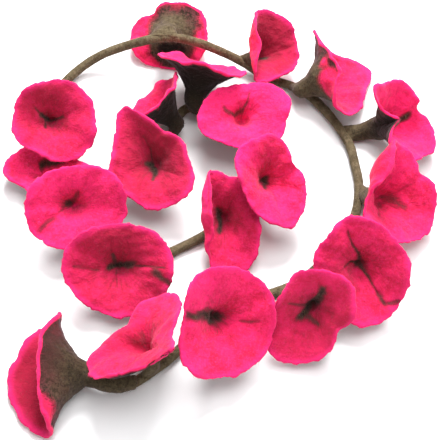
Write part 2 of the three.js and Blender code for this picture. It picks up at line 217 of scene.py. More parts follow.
# Creases and stains in a cup, each a line from one point to another in its mouth (across, up, across, up):
# half its width, how much olive wool shows there, and how far the felt is drawn in
CREASES = {
    1: [(0, 0, 0, 0, 7, 1, 0)],
    2: [(-10, -8, -5, -6, 4, 0.4, 0.3), (-5, -6, 1, -10, 3, 0.3, 0.3)],
    3: [(-30, 27, -14, 14, 5, 0.8, 2), (-14, 14, 2, -5, 7, 0.95, 2.5), (15, -12, 27, -19, 2.2, 0.45, 0.7)],
    4: [
        (8, 24, 1, 2, 5.5, 1, 1.5), (1, 2, -10, -8, 6, 1, 1.5), (-9, -9, 8, -13, 4, 0.6, 0.8),
        (-22, 8, -8, 2, 3, 0.5, 0.8),
    ],
    5: [
        (-8, 37, -6, 25, 2, 0.6, 1.2), (-6, 25, 0, 13, 2, 0.7, 1.4), (0, 13, 9, -14, 2.6, 0.72, 2.2),
        (9, -14, 13, -26, 3, 0.62, 2.2), (13, -26, 17, -37, 4, 0.62, 2), (17, -37, 31, -36, 3, 0.55, 1.2),
        (3, 4, -7, 7, 2.4, 0.8, 1.6), (-7, 7, -14, 3, 2, 0.5, 1),
    ],
    6: [(8, -6, 8, -20, 6, 0.42, 0.6), (8, -6, 26, -6, 2.6, 0.25, 0.9), (-22, -5, 6, -10, 3, 0.3, 0.9)],
    # flower 7's lines paint the dark pocket between its lobes: partly the olive outside that shows there,
    # partly painted shade
    7: [(-16, 12, 2, -1, 9, 1.1, 2), (2, -1, 16, -9, 4, 1, 2)],
    8: [(0, 0, 0, 0, 6, 1, 0)],
    9: [(0, -3, 1, -7, 4.5, 1, 0.8), (4, -7, 19, -19, 2, 0.25, 0.9)],
    10: [(0, 0, 0, 0, 7, 1, 0)],
    11: [
        (-10, 8, -3, 3, 4, 0.95, 1), (-3, 3, 12, 0, 3.4, 0.65, 1), (-8, 6, -13, 16, 2.4, 0.5, 0.9),
        (-6, 3, -9, -6, 2.4, 0.6, 0.8), (12, 0, 30, 4, 1.6, 0.12, 0.8),
    ],
    12: [(-7, 10, 13, 16, 4.5, 0.85, 0.5)],
    13: [
        (-8, 3, 6, 11, 5, 0.42, 0.7), (-6, 3, -5, 5, 4, 0.9, 0.8), (-10, 0, -22, -9, 2.4, 0.28, 0.5),
        (-22, -9, -36, -19, 4, 0.36, 0.5),
    ],
    14: [
        (-10, 1, 12, 3, 5, 1, 1.5), (-5, 2, -5, 14, 3.4, 0.7, 1.2), (-6, 16, -5, 28, 1.8, 0.35, 1.2),
        (12, 12, 10, 28, 1.6, 0.3, 1.2), (-20, 0, -41, 6, 3, 0.4, 1), (12, 1, 42, -2, 2.4, 0.5, 1.3),
        (34, -6, 46, -16, 4.5, 0.65, 0.5), (-4, -4, -4, -18, 2, 0.35, 0.9),
    ],
    15: [(-5, 9, -5, -12, 4.4, 0.9, 1.6)],
    16: [
        (5, 0, 1, -7, 2.6, 0.85, 1), (1, -7, -8, -6, 3, 0.6, 0.6), (1, -7, 13, -27, 1.5, 0.15, 0.9),
        (1, -5, 1, 18, 1.5, 0.15, 0.8), (-2, -8, -16, -24, 1.5, 0.12, 0.8),
    ],
    17: [
        (-15, 13, -6, 8, 3.4, 0.5, 0.3), (-6, 8, 4, 10, 3.4, 0.55, 0.3), (4, 10, 10, 13, 2.2, 0.5, 0.3),
        (10, 13, 15, 19, 2, 0.4, 0.3),
    ],
    18: [(0, 0, 0, 0, 6, 1, 0)],
    19: [(0, 0, 0, 0, 6, 1, 0)],
    20: [
        (-5, -3, 4, -12, 5.4, 1, 1.6), (4, -12, 5, -18, 3, 0.7, 0.8), (-5, 0, -8, 12, 2.6, 0.5, 1.6),
        (-8, 12, -15, 21, 2.4, 0.3, 1.6), (6, -5, 39, -9, 1.8, 0.2, 0.9),
    ],
}

# Necks that aren't like the rest: joined so far further along the stem, thicker there, bent so far towards
# the viewer (all in mm), with so much more web along the stem, and with the stem so much more swollen
ROOTS = {
    1: (22, 2.6, 11, -1.6, 0.2),
    6: (0, 0, 0, 0.9, 0),
    9: (0, 0, 0, 0.5, 0),
    10: (0, 1.2, 0, 0.6, 0.4),
}
PLAIN_ROOT = (0, 0, 0, 0, 0)

# Painted shade inside a cup, its wool made a deeper red, or below zero a painted highlight, a brighter pink:
# at a point in its mouth (across, up), over so many mm round it, and by what share
SHADE_AND_HIGHLIGHT_SPOTS = {
    1: [(0, 0, 120, 1.1)],
    2: [(0, 0, 60, 0.35), (5, -10, 18, 0.3)],
    3: [(-10, 40, 30, -0.4), (0, -30, 30, 0.2)],
    4: [(0, 0, 90, 0.45), (20, -20, 30, 0.3)],
    5: [(0, 0, 90, 0.15), (-22, -10, 24, 0.5)],
    6: [(0, 0, 60, -0.25), (10, -20, 22, 0.5)],
    7: [(0, 0, 60, -0.4), (-20, 20, 24, -0.6)],
    8: [(0, 0, 60, 0.35)],
    9: [(8, 14, 46, 1.4)],
    11: [(0, 10, 60, 0.5), (0, 30, 30, 0.4)],
    13: [(0, 10, 50, -0.3)],
    14: [(0, 0, 90, 0.45), (0, 30, 40, 0.5)],
    15: [(8, 0, 30, 0.6), (-11, 26, 7, 0.5), (-12, -5, 7, 0.5), (-12, -26, 7, 0.5)],
    16: [(12, 20, 24, 0.35), (-20, -20, 24, -0.3), (-8, 40, 16, -1)],
    17: [(0, 0, 70, -0.35)],
    18: [(0, 0, 70, -0.3)],
    19: [(0, 0, 70, 0.25)],
    20: [(0, 0, 90, 0.65), (0, 20, 36, 0.4)],
}

# Where pink wool shows on a cup's outside (past 1.3 with a painted highlight), or below zero painted shade,
# darker where shade falls, in the same way
OUTSIDE_PINK_AND_SHADE = {
    1: [(0, 0, 120, -0.75), (47, 14, 20, 1.2), (36, 34, 19, 1.1)],
    2: [(46, 22, 26, -1.5)],
    6: [(0, 0, 120, 1.3)],
    7: [(0, 0, 90, -0.7), (-14, 11, 8, -1.4)],
    8: [(0, 0, 90, -0.3), (4, 22, 6, 1.1), (-12, 20, 9, 1.5), (-26, 14, 10, 1.5)],
    9: [(0, 0, 120, 1.3)],
    10: [
        (36, 6, 13, 1.3), (32, -16, 14, 1.3), (14, -38, 12, 1.1), (25, 27, 10, 1), (-40, 0, 12, 1.3),
        (-32, -24, 12, 1), (-36, 24, 9, 0.8), (0, 42, 14, 0.5), (2, -17, 9, -1.3), (-15, -15, 10, -1.3),
    ],
    15: [(0, 0, 120, 1.3), (-34, 30, 26, 1.2)],
    18: [(0, 0, 120, -1.1)],
    19: [(0, 0, 120, -1.1)],
}


def camera_at(aim, elevation, distance):
    data = bpy.data.cameras.new("photo_camera")
    data.sensor_width = SENSOR_MM
    data.lens = SENSOR_MM * FOCAL_PIXELS / PHOTO_SIZE
    data.clip_start = CLIP_NEAR
    data.clip_end = CLIP_FAR
    camera = bpy.data.objects.new("photo_camera", data)
    bpy.context.collection.objects.link(camera)
    back = Vector((0, -math.cos(elevation), math.sin(elevation)))
    camera.location = aim + back * distance
    camera.rotation_euler = (-back).to_track_quat("-Z", "Y").to_euler()
    bpy.context.scene.camera = camera


camera_at(-LAYOUT_CENTRE, CAMERA_ELEVATION, CAMERA_DISTANCE)


def spline_points(points, steps):
    """Points along a centripetal spline through the given ones."""
    points = np.array(points, float)
    before = 2 * points[0] - points[1]
    beyond = 2 * points[-1] - points[-2]
    held = np.vstack([before, points, beyond])
    line = []
    for i in range(len(points) - 1):
        p0, p1, p2, p3 = held[i : i + 4]
        d0, d1, d2 = (math.sqrt(np.linalg.norm(b - a)) for a, b in ((p0, p1), (p1, p2), (p2, p3)))
        m1 = ((p1 - p0) / d0 - (p2 - p0) / (d0 + d1) + (p2 - p1) / d1) * d1
        m2 = ((p2 - p1) / d1 - (p3 - p1) / (d1 + d2) + (p3 - p2) / d2) * d1
        for w in np.arange(steps) / steps:
            cubic = (-3 * p1 + 3 * p2 - 2 * m1 - m2) * w * w + (2 * p1 - 2 * p2 + m1 + m2) * w**3
            line.append(p1 + m1 * w + cubic)
    line.append(points[-1])
    return np.array(line)


# The stem's middle line, in mm, and how far along it each of its points is
stem_line = (spline_points(STEM_ROUTE, ROUTE_STEPS) - np.array(LAYOUT_CENTRE)) / MM
stem_run = np.concatenate([[0], np.cumsum(np.linalg.norm(np.diff(stem_line, axis=0), axis=1))])
stem_length = stem_run[-1]


def stem_point(run):
    return np.array([np.interp(run, stem_run, stem_line[:, k]) for k in range(3)])


def stem_direction(run):
    step = stem_point(min(run + 1, stem_length)) - stem_point(max(run - 1, 0))
    return step / np.linalg.norm(step)


def link(name, mesh, material=None):
    piece = bpy.data.objects.new(name, mesh)
    bpy.context.collection.objects.link(piece)
    if material:
        mesh.materials.append(material)
    return piece


class Nodes:
    """Adds nodes to a tree, and wires each input from a node's output or a plain value."""

    def __init__(self, tree):
        self.tree = tree

    def add(self, kind, inputs=None, **settings):
        node = self.tree.nodes.new(kind)
        for key, value in settings.items():
            setattr(node, key, value)
        for key, value in (inputs or {}).items():
            self.wire(value, node.inputs[key])
        return node

    def wire(self, value, target):
        if isinstance(value, bpy.types.NodeSocket):
            self.tree.links.new(value, target)
        else:
            target.default_value = value

    def maths(self, operation, *values, clamp=False):
        inputs = dict(enumerate(values))
        return self.add("ShaderNodeMath", inputs, operation=operation, use_clamp=clamp).outputs[0]

    def times(self, a, b, clamp=False):
        return self.maths("MULTIPLY", a, b, clamp=clamp)

    def plus(self, a, b, clamp=False):
        return self.maths("ADD", a, b, clamp=clamp)

    def minus(self, a, b, clamp=False):
        return self.maths("SUBTRACT", a, b, clamp=clamp)

    def vector(self, operation, *values):
        keys = (0, "Scale") if operation == "SCALE" else (0, 1)
        return self.add("ShaderNodeVectorMath", dict(zip(keys, values)), operation=operation).outputs[0]

    def mix(self, share, a, b):
        return self.add("ShaderNodeMix", {"Factor": share, 6: a, 7: b}, data_type="RGBA").outputs[2]

    def ramp(self, value, low, high):
        """0 at low and 1 at high, with a soft run between them, also where low is the higher number."""
        inputs = {"Value": value, "From Min": low, "From Max": high}
        return self.add("ShaderNodeMapRange", inputs, interpolation_type="SMOOTHSTEP").outputs["Result"]

    def noise(self, vector, scale, detail, roughness, distortion=0.0):
        inputs = {"Vector": vector, "Scale": scale, "Detail": detail, "Roughness": roughness}
        return self.add("ShaderNodeTexNoise", {**inputs, "Distortion": distortion}).outputs["Fac"]

    def attribute(self, name, output="Fac"):
        return self.add("ShaderNodeAttribute", attribute_name=name).outputs[output]

    def held_above(self, geometry, lowest):
        """The geometry with each point that lies below the lowest height brought up to it."""
        where = self.add("GeometryNodeInputPosition").outputs[0]
        parts = self.add("ShaderNodeSeparateXYZ", {"Vector": where}).outputs
        height = self.maths("MAXIMUM", parts["Z"], lowest)
        place = self.add("ShaderNodeCombineXYZ", {"X": parts["X"], "Y": parts["Y"], "Z": height}).outputs[0]
        return self.add("GeometryNodeSetPosition", {"Geometry": geometry, "Position": place}).outputs[0]

    def in_material(self, geometry, material):
        return self.add("GeometryNodeSetMaterial", {"Geometry": geometry, "Material": material}).outputs[0]


def node_group(name, kind, inputs, outputs):
    """A new group with its tools, the sockets that it is given and the sockets that it makes. Each input is a
    name, its kind and perhaps its value at first, and each output a name and its kind."""
    tree = bpy.data.node_groups.new(name, kind)
    for label, socket, *value in inputs:
        made = tree.interface.new_socket(label, in_out="INPUT", socket_type="NodeSocket" + socket)
        if value:
            made.default_value = value[0]
    for label, socket in outputs:
        tree.interface.new_socket(label, in_out="OUTPUT", socket_type="NodeSocket" + socket)
    n = Nodes(tree)
    return tree, n, n.add("NodeGroupInput").outputs, n.add("NodeGroupOutput").inputs


# How wool fibres lie, each stretch with its turn, and the scales of the flecks and of each felt's fibre and
# mottle
FIBRE_LAYS = (((1, 0.18, 0.4), 0.5), ((0.2, 1, 0.4), 1.9), ((0.5, 0.4, 0.15), 2.7))
FLECK_SCALE = 330.0
STEM_GRAIN = (700.0, 95.0)
FLOWER_GRAIN = (760.0, 75.0)


def grain_group():
    """Wool grain, shared by both felts: a tangle of short fibres and fine wrinkles for the bump, and a slow
    mottle and fine flecks for the colour."""
    inputs = [
        ("Vector", "Vector"),
        ("Fibre", "Float", 800.0),
        ("Wrinkle", "Float", 190.0),
        ("Patch", "Float", 70.0),
    ]
    outputs = [("Height", "Float"), ("Mottle", "Float"), ("Flecks", "Float")]
    tree, n, given, made = node_group("wool_grain", "ShaderNodeTree", inputs, outputs)
    tangle = []
    for stretch, turn in FIBRE_LAYS:
        turned = {"Vector": given["Vector"], "Rotation": (turn, 0.6 * turn, 1.3 * turn), "Scale": stretch}
        lay = n.add("ShaderNodeMapping", turned).outputs[0]
        tangle.append(n.noise(lay, given["Fibre"], 2.0, 0.6, 0.6))
    crossed = n.maths("MAXIMUM", n.maths("MAXIMUM", tangle[0], tangle[1]), tangle[2])
    lumps = n.noise(given["Vector"], given["Wrinkle"], 4.0, 0.6, 0.4)
    folds = n.noise(given["Vector"], n.times(given["Wrinkle"], 0.55), 2.0, 0.5, 1.2)
    wrinkles = n.ramp(n.maths("ABSOLUTE", n.minus(folds, 0.5)), 0.0, 0.07)
    height = n.plus(n.times(crossed, 0.5), n.times(lumps, 1.1))
    n.wire(n.plus(height, n.times(wrinkles, 0.16)), made["Height"])
    n.wire(n.noise(given["Vector"], given["Patch"], 6.0, 0.62, 0.3), made["Mottle"])
    speckle = n.noise(given["Vector"], FLECK_SCALE, 4.0, 0.7, 0.8)
    n.wire(n.times(n.plus(crossed, speckle), 0.5), made["Flecks"])
    return tree


GRAIN = grain_group()


def grain(n, vector, fibre, patch):
    node = n.add("ShaderNodeGroup")
    node.node_tree = GRAIN
    n.wire(vector, node.inputs["Vector"])
    node.inputs["Fibre"].default_value = fibre
    node.inputs["Patch"].default_value = patch
    return node.outputs["Height"], node.outputs["Mottle"], node.outputs["Flecks"]


FELT_ROUGHNESS = 0.92
FELT_GLOSS = 0.12
SHEEN_ROUGHNESS = 0.45
BUMP_STRENGTH = 0.9
BUMP_DISTANCE = 0.0012


def felt_shader(n, colour, height, sheen_colour, sheen):
    bump = {"Height": height, "Strength": BUMP_STRENGTH, "Distance": BUMP_DISTANCE}
    bumped = n.add("ShaderNodeBump", bump).outputs[0]
    shader = n.add("ShaderNodeBsdfPrincipled", {"Base Color": colour, "Normal": bumped})
    shader.inputs["Roughness"].default_value = FELT_ROUGHNESS
    shader.inputs["Specular IOR Level"].default_value = FELT_GLOSS
    shader.inputs["Sheen Weight"].default_value = sheen
    shader.inputs["Sheen Roughness"].default_value = SHEEN_ROUGHNESS
    shader.inputs["Sheen Tint"].default_value = sheen_colour
    n.wire(shader.outputs[0], n.add("ShaderNodeOutputMaterial").inputs[0])


def new_material(name):
    material = bpy.data.materials.new(name)
    material.use_nodes = True
    material.node_tree.nodes.clear()
    return material, Nodes(material.node_tree)


SHADE_AND_STAIN_BLACK = (0.009, 0.006, 0.004, 1)
OLIVE_DARK = (0.018, 0.012, 0.007, 1)
OLIVE = (0.06, 0.043, 0.022, 1)
OLIVE_PALE = (0.12, 0.092, 0.052, 1)
OLIVE_FLECK = (0.2, 0.155, 0.1, 1)
OLIVE_SHEEN = (0.8, 0.75, 0.6, 1)
BROWN = (0.095, 0.028, 0.03, 1)
MAROON = (0.06, 0.018, 0.016, 1)
PAINTED_HIGHLIGHT_PINK = (0.88, 0.024, 0.19, 1)
PINK = (0.8, 0.018, 0.115, 1)
PINK_DEEP = (0.6, 0.012, 0.062, 1)
PINK_FLECK = (0.9, 0.034, 0.19, 1)
PINK_SHEEN = (1.0, 0.7, 0.8, 1)
CRIMSON = (0.29, 0.009, 0.032, 1)
LOOSE_WOOL = (0.62, 0.5, 0.44, 1)


def stem_felt():
    """Olive wool, darker and paler in patches and flecks. Loose is 1 on a loose fibre."""
    material, n = new_material("stem_felt")
    where = n.add("ShaderNodeTexCoord").outputs["Object"]
    height, mottle, flecks = grain(n, where, *STEM_GRAIN)
    colour = n.mix(n.ramp(mottle, 0.32, 0.68), OLIVE, OLIVE_PALE)
    colour = n.mix(n.times(n.ramp(flecks, 0.5, 0.66), 0.55), colour, OLIVE_FLECK)
    colour = n.mix(n.times(n.ramp(flecks, 0.5, 0.36), 0.6), colour, OLIVE_DARK)
    colour = n.mix(n.times(n.attribute("loose"), 0.35), colour, LOOSE_WOOL)
    felt_shader(n, colour, height, OLIVE_SHEEN, 0.08)
    return material


def flower_felt():
    """Reads what each flower's mesh carries: petal (cosine and sine round the mouth, and the way from throat
    to rim), front (1 inside the cup), neck (0 at the foot of the cup, 1 at the stem), stain (olive wool),
    shade_and_highlight (painted shade, a deeper red, or below zero a painted highlight, a brighter pink),
    outer (pink wool outside, or below zero painted shade, darker) and loose (1 on a loose fibre)."""
    material, n = new_material("flower_felt")
    where = n.add("ShaderNodeTexCoord").outputs["Object"]
    height, mottle, flecks = grain(n, where, *FLOWER_GRAIN)
    petal = n.attribute("petal", "Vector")
    way = n.add("ShaderNodeSeparateXYZ", {"Vector": petal}).outputs["Z"]
    front = n.attribute("front")

    # rays and veins: noise that runs from the throat to the rim, another for each flower
    shifted = n.vector("ADD", n.vector("MULTIPLY", petal, (7.0, 7.0, 1.5)), n.vector("SCALE", where, 14.0))
    rays = n.noise(shifted, 1.0, 4.0, 0.6, 0.5)
    thread = n.maths("ABSOLUTE", n.minus(n.noise(shifted, 0.8, 2.0, 0.5, 0.3), 0.5))
    veins = n.times(n.ramp(thread, 0.035, 0.0), n.ramp(way, 0.95, 0.3))
    veins = n.times(veins, n.ramp(mottle, 0.4, 0.55))

    # inside: pink in patches with flecks, brighter pink as a painted highlight, then crimson in flecks, rays,
    # veins and painted shade, and a painted highlight near the rim
    inside = n.mix(n.ramp(mottle, 0.36, 0.64), PINK, PINK_DEEP)
    inside = n.mix(n.times(n.ramp(flecks, 0.5, 0.64), 0.5), inside, PINK_FLECK)
    # painted shade above zero and a painted highlight below zero, from the cup's spots
    shade_and_highlight = n.attribute("shade_and_highlight")
    inside = n.mix(n.times(shade_and_highlight, -1.0, clamp=True), inside, PAINTED_HIGHLIGHT_PINK)
    shade = n.times(n.ramp(flecks, 0.52, 0.38), 0.4)
    worn = n.times(n.ramp(rays, 0.46, 0.7), n.times(n.ramp(way, 0.8, 0.1), 0.4))
    # painted shade: crimson where the spots are above zero, joined with the crimson flecks, rays and veins
    red = n.times(shade_and_highlight, n.plus(0.7, n.times(mottle, 0.6)), clamp=True)
    red = n.maths("MAXIMUM", n.maths("MAXIMUM", shade, worn), red, clamp=True)
    red = n.plus(red, n.times(veins, 0.3), clamp=True)
    inside = n.mix(red, inside, CRIMSON)
    # painted highlight: brighter pink near the rim
    inside = n.mix(n.times(n.ramp(way, 0.84, 0.98), 0.55), inside, PAINTED_HIGHLIGHT_PINK)

    # outside: olive at the foot, brown and a little pink further up
    astray = n.plus(way, n.times(n.minus(mottle, 0.5), 0.5))
    outside = n.mix(n.ramp(flecks, 0.4, 0.62), OLIVE_DARK, OLIVE_PALE)
    outside = n.mix(0.45, outside, OLIVE)
    brown = n.mix(n.ramp(flecks, 0.45, 0.6), OLIVE_DARK, BROWN)
    outside = n.mix(n.ramp(astray, 0.35, 0.8), outside, brown)
    pinkish = n.times(n.ramp(astray, 0.6, 1.1), n.ramp(mottle, 0.52, 0.62))
    outside = n.mix(n.times(pinkish, 0.4), outside, PINK_DEEP)

    # the painted shade outside, towards maroon and near black; the pink wool outside, with a painted
    # highlight where it is brightest; its pink lip; and its neck, darker under the painted shade too
    outer = n.attribute("outer")
    # painted shade: how far the outside is darkened where shade falls
    painted_shade = n.times(outer, -1.0, clamp=True)
    shaded_olive = n.mix(n.ramp(flecks, 0.45, 0.62), SHADE_AND_STAIN_BLACK, OLIVE)
    shade_colour = n.mix(n.ramp(astray, 0.2, 0.7), shaded_olive, MAROON)
    outside = n.mix(n.times(painted_shade, n.ramp(astray, -0.35, 0.5)), outside, shade_colour)
    outside = n.mix(n.minus(n.times(painted_shade, 2.0), 1.1, clamp=True), outside, SHADE_AND_STAIN_BLACK)
    torn = n.plus(outer, n.times(n.minus(flecks, 0.5), 1.2))
    torn = n.times(n.ramp(torn, 0.15, 0.85), n.ramp(astray, 0.12, 0.3))
    pink = n.mix(n.ramp(mottle, 0.4, 0.6), PINK, PINK_DEEP)
    # painted highlight on the brightest pink outside
    pink = n.mix(n.minus(outer, 1.3, clamp=True), pink, PAINTED_HIGHLIGHT_PINK)
    outside = n.mix(torn, outside, n.mix(torn, CRIMSON, pink))
    thin = n.minus(n.times(outer, -1.0), 1.0, clamp=True)
    lip = n.minus(way, n.times(thin, 0.12))
    outside = n.mix(n.ramp(lip, 0.9, 0.95), outside, PINK)
    necked = n.mix(n.ramp(flecks, 0.42, 0.62), OLIVE, OLIVE_PALE)
    necked = n.mix(n.times(painted_shade, 0.45), necked, n.mix(n.ramp(flecks, 0.42, 0.62), SHADE_AND_STAIN_BLACK, OLIVE))
    outside = n.mix(n.attribute("neck"), outside, necked)
    colour = n.mix(front, outside, inside)

    # the stains' edges follow the fibres: crimson first, then brown, then olive
    stain = n.attribute("stain")
    fray = n.plus(n.times(flecks, 0.8), n.times(rays, 0.6))
    fray = n.times(n.minus(fray, 0.7), n.ramp(stain, 0.02, 0.3))
    frayed = n.plus(stain, fray)
    colour = n.mix(n.times(n.ramp(frayed, 0.05, 0.4), 0.7), colour, CRIMSON)
    colour = n.mix(n.times(n.ramp(frayed, 0.2, 0.65), 0.9), colour, BROWN)
    olive = n.mix(n.ramp(flecks, 0.46, 0.7), SHADE_AND_STAIN_BLACK, OLIVE_PALE)
    colour = n.mix(n.times(n.ramp(frayed, 0.5, 1.0), 0.95), colour, olive)
    colour = n.mix(n.times(n.attribute("loose"), 0.1), colour, LOOSE_WOOL)

    # the rays and veins are grooves as well, inside
    grooves = n.minus(rays, n.times(veins, 0.45))
    grooves = n.times(grooves, n.ramp(way, 0.98, 0.3))
    lift = n.plus(height, n.times(grooves, n.times(front, 0.7)))
    felt_shader(n, colour, lift, PINK_SHEEN, 0.12)
    return material


STEM_FELT = stem_felt()
FLOWER_FELT = flower_felt()


def rope_tree():
    """A tube along the stem's line, a little uneven as rolled felt is, and flat where it lies."""
    inputs = [
        ("Geometry", "Geometry"),
        ("Radius", "Float", 0.5 * STEM_DIAMETER * MM),
        ("Unevenness", "Float", 0.0006),
        ("Lump Scale", "Float", 55.0),
        ("Lowest", "Float", LOWEST_POINT),
        ("Material", "Material"),
    ]
    outputs = [("Geometry", "Geometry")]
    tree, n, given, made = node_group("rolled_felt_rope", "GeometryNodeTree", inputs, outputs)
    circle = {"Resolution": ROPE_SIDES, "Radius": given["Radius"]}
    profile = n.add("GeometryNodeCurvePrimitiveCircle", circle).outputs["Curve"]
    swept = {"Curve": given["Geometry"], "Profile Curve": profile, "Fill Caps": True}
    tube = n.add("GeometryNodeCurveToMesh", swept).outputs["Mesh"]
    where = n.add("GeometryNodeInputPosition").outputs[0]
    lump = n.noise(where, given["Lump Scale"], 3.0, 0.6)
    push = n.times(n.minus(lump, 0.5), n.times(given["Unevenness"], 3.0))
    offset = n.vector("SCALE", n.add("GeometryNodeInputNormal").outputs[0], push)
    lumpy = n.add("GeometryNodeSetPosition", {"Geometry": tube, "Offset": offset}).outputs[0]
    flat = n.held_above(lumpy, given["Lowest"])
    smooth = n.add("GeometryNodeSetShadeSmooth", {0: flat}).outputs[0]
    whole = n.add("GeometryNodeRealizeInstances", {0: smooth}).outputs[0]
    n.wire(n.in_material(whole, given["Material"]), made["Geometry"])
    return tree


def fuzz_tree():
    """Loose fibres joined to a surface: thin closed cones scattered on it, nearly flat and a little bent."""
    inputs = [
        ("Geometry", "Geometry"),
        ("Density", "Float", 90000.0),
        ("Fibre Length", "Float", 0.0032),
        ("Fibre Radius", "Float", 0.00006),
        ("Lift", "Float", 0.35),
        ("Bend", "Float", 0.0012),
        ("Seed", "Int", 1),
        ("Lowest", "Float", LOWEST_POINT),
        ("Material", "Material"),
    ]
    outputs = [("Geometry", "Geometry")]
    tree, n, given, made = node_group("loose_fibres", "GeometryNodeTree", inputs, outputs)
    seeded = {"Mesh": given["Geometry"], "Density": given["Density"], "Seed": given["Seed"]}
    scattered = n.add("GeometryNodeDistributePointsOnFaces", seeded).outputs

    # each lies along the surface in a chance direction, lifted a little off it
    either_way = {0: (-1, -1, -1), 1: (1, 1, 1), "Seed": given["Seed"]}
    chance = n.add("FunctionNodeRandomValue", either_way, data_type="FLOAT_VECTOR").outputs[0]
    flat = n.vector("NORMALIZE", n.vector("CROSS_PRODUCT", scattered["Normal"], chance))
    lean = n.vector("ADD", flat, n.vector("SCALE", scattered["Normal"], given["Lift"]))
    turned = n.add("FunctionNodeAlignRotationToVector", {"Vector": lean}, axis="Z").outputs[0]
    cone = {"Vertices": 3, "Side Segments": 2, "Radius Top": 0.3, "Radius Bottom": 1.0, "Depth": 1.0}
    fibre = n.add("GeometryNodeMeshCone", cone).outputs["Mesh"]
    about_one = {2: 0.5, 3: 1.5, "Seed": given["Seed"]}
    size = n.add("FunctionNodeRandomValue", about_one, data_type="FLOAT").outputs[1]
    length = n.times(given["Fibre Length"], size)
    thick = given["Fibre Radius"]
    stretch = n.add("ShaderNodeCombineXYZ", {"X": thick, "Y": thick, "Z": length}).outputs[0]
    set_out = {"Points": scattered["Points"], "Instance": fibre, "Rotation": turned, "Scale": stretch}
    placed = n.add("GeometryNodeInstanceOnPoints", set_out).outputs[0]
    whole = n.add("GeometryNodeRealizeInstances", {0: placed}).outputs[0]

    # and is bent by slow noise
    where = n.add("GeometryNodeInputPosition").outputs[0]
    waves = n.add("ShaderNodeTexNoise", {"Vector": where, "Scale": 420.0, "Detail": 1.0}).outputs["Color"]
    aside = n.vector("SCALE", n.vector("SUBTRACT", waves, (0.5, 0.5, 0.5)), given["Bend"])
    bent = n.add("GeometryNodeSetPosition", {"Geometry": whole, "Offset": aside}).outputs[0]
    bent = n.held_above(bent, given["Lowest"])
    loose = {"Geometry": bent, "Name": "loose", "Value": 1.0}
    marked = n.add("GeometryNodeStoreNamedAttribute", loose, data_type="FLOAT").outputs[0]
    joined = n.add("GeometryNodeJoinGeometry")
    n.wire(given["Geometry"], joined.inputs[0])
    n.wire(marked, joined.inputs[0])
    n.wire(n.in_material(joined.outputs[0], given["Material"]), made["Geometry"])
    return tree


def shaped_by(tree, source, name, values):
    """The plain mesh that a node tree makes of a source object, as a new piece. The source is removed."""
    modifier = source.modifiers.new(tree.name, "NODES")
    modifier.node_group = tree
    for item in tree.interface.items_tree:
        if item.in_out == "INPUT" and item.name in values:
            modifier[item.identifier] = values[item.name]
    graph = bpy.context.evaluated_depsgraph_get()
    shaped = source.evaluated_get(graph)
    mesh = bpy.data.meshes.new_from_object(shaped, preserve_all_data_layers=True, depsgraph=graph)
    source.modifiers.remove(modifier)
    bpy.data.objects.remove(source)
    mesh.name = name
    return link(name, mesh)


def stem_curve():
    """The stem's line as a curve whose radius swells at each neck."""
    curve = bpy.data.curves.new("stem_line", "CURVE")
    curve.dimensions = "3D"
    spline = curve.splines.new("POLY")
    runs = np.linspace(0, stem_length, STEM_STATIONS)
    spline.points.add(len(runs) - 1)
    for point, run in zip(spline.points, runs):
        point.co = (*(stem_point(run) * MM), 1)
        swells = []
        for flower in FLOWERS:
            swell = SWELL + ROOTS.get(flower["number"], PLAIN_ROOT)[-1]
            swells.append(swell * math.exp(-(((run - flower["at"]) / SWELL_REACH) ** 2)))
        point.radius = 1 + max(swells)
    line = bpy.data.objects.new("stem_line", curve)
    bpy.context.collection.objects.link(line)
    return line


FUZZ = fuzz_tree()
rope = shaped_by(rope_tree(), stem_curve(), "rolled_rope", {"Material": STEM_FELT})
stem = shaped_by(FUZZ, rope, "stem_rope", {"Material": STEM_FELT, "Seed": STEM_SEED})
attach(stem, "root")
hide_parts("stem")


# A flower's sheet in its own axes, as in the solids, with a ragged edge, soft lumps and its creases
def set_waves(angle, flower, rows):
    """Waves round the mouth, from rows of a count, a height and a share of the flower's phase."""
    return sum(height * np.sin(count * angle + phase * flower["phase"]) for count, height, phase in rows)


def chance_waves(angle, flower, counts, seed):
    """An uneven line round the mouth, about -1 to 1, made of waves with chance starts."""
    chance = np.random.default_rng(seed + SEED_STEP * flower["number"])
    total = np.zeros_like(angle)
    for count in counts:
        total = total + np.sin(count * angle + chance.uniform(0, 2 * math.pi)) * chance.uniform(0.5, 1)
    return total / math.sqrt(len(counts))


def rim_radius(flower, angle):
    oval = 1 / np.hypot(np.cos(angle) / (flower["wide"] / 2), np.sin(angle) / (flower["tall"] / 2))
    uneven = 1 + set_waves(angle, flower, UNEVENNESS)
    radius = oval * uneven + flower["shift_x"] * np.cos(angle) + flower["shift_y"] * np.sin(angle)
    for at, share, spread in NOTCHES.get(flower["number"], ()):
        away = angle - math.radians(at)
        away = np.arctan2(np.sin(away), np.cos(away))
        radius = radius * (1 - share * np.exp(-((away / math.radians(spread)) ** 2)))
    return radius


def cup_radius(flower, rim, way):
    throat = flower["foot"] - THROAT_INSET
    return throat + (rim - throat) * way**SPREAD_POWER


def curled(flower, x, y, z):
    """The sheet rolled over each of the flower's curls, round a line across the curl's direction."""
    for toward, degrees, start, over in CURLS.get(flower["number"], ()):
        across, up = math.cos(math.radians(toward)), math.sin(math.radians(toward))
        along = x * across + y * up
        bend = math.radians(degrees) / over
        beyond = np.maximum(along - start, 0)
        bent = np.minimum(beyond, over)
        straight = beyond - bent
        turn = bend * bent
        moved = start + np.sin(turn) / bend + straight * np.cos(turn) - z * np.sin(turn)
        lifted = (1 - np.cos(turn)) / bend + straight * np.sin(turn) + z * np.cos(turn)
        rolled = along > start
        x = np.where(rolled, x + (moved - along) * across, x)
        y = np.where(rolled, y + (moved - along) * up, y)
        z = np.where(rolled, lifted, z)
    return x, y, z


